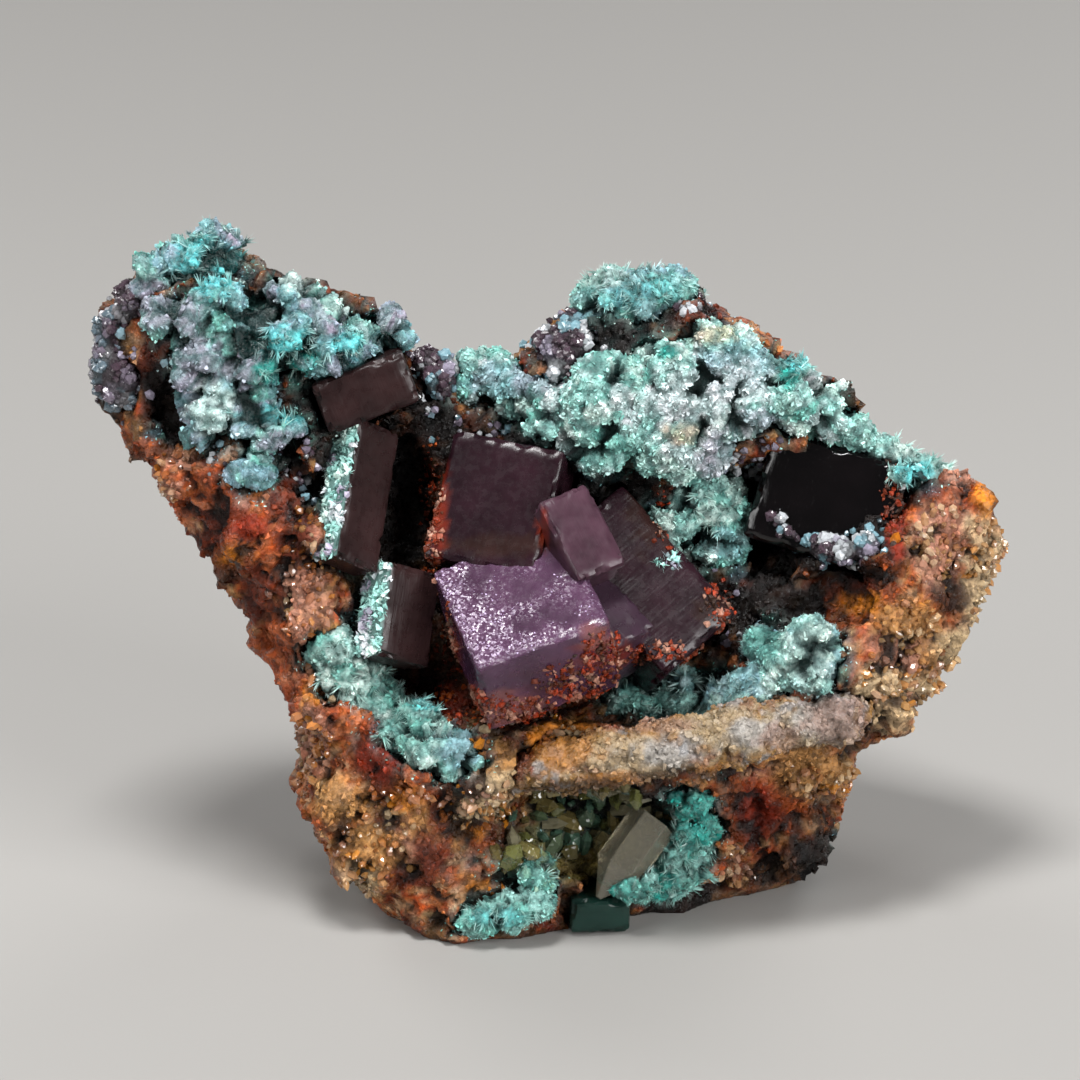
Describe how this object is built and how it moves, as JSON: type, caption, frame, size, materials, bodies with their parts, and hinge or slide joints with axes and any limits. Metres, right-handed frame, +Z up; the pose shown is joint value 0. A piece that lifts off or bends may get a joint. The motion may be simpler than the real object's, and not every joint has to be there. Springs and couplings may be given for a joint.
{
  "type": "fluorite on aurichalcite mineral specimen",
  "caption": "Loose mineral specimen: purple fluorite cubes in a hollow of rusty limonite, crusted with blue-green aurichalcite, standing on a flat foot.",
  "frame": {"origin": "on the surface that the specimen stands on, under the middle of its bounding box", "axes": "+Z up, -Y towards the display side with the fluorite, +X to that side's right"},
  "size_m": [0.0666, 0.0364, 0.051],
  "materials": {
    "limonite": "rough, granular and rusty",
    "quartz": "granular, translucent and glistening",
    "clear_quartz": "clear with flat faces",
    "fluorite": "translucent purple with frosted and glossy cube faces",
    "aurichalcite": "silky sprays of fine needles over a granular crust",
    "hemimorphite": "translucent grey lavender beads"
  },
  "bodies": {
    "root": {"matrix_rock": "limonite", "quartz_ledge": "quartz", "quartz_point": "clear_quartz", "fluorite_cluster": "fluorite", "fluorite_long_blade": "fluorite", "fluorite_short_blade": "fluorite", "fluorite_plate": "fluorite", "fluorite_dark_cube": "fluorite", "fluorite_foot_cube": "fluorite", "aurichalcite_left_hump": "aurichalcite", "aurichalcite_centre": "aurichalcite", "aurichalcite_below_centre": "aurichalcite", "aurichalcite_right_hump": "aurichalcite", "aurichalcite_right_fan": "aurichalcite", "aurichalcite_lower_left": "aurichalcite", "aurichalcite_lower_right": "aurichalcite", "aurichalcite_recess": "aurichalcite", "aurichalcite_recess_lip": "aurichalcite", "aurichalcite_foot": "aurichalcite", "hemimorphite_left_end": "hemimorphite", "hemimorphite_saddle": "hemimorphite", "hemimorphite_right_hump": "hemimorphite", "hemimorphite_pocket_lip": "hemimorphite"}
  },
  "joints": []
}
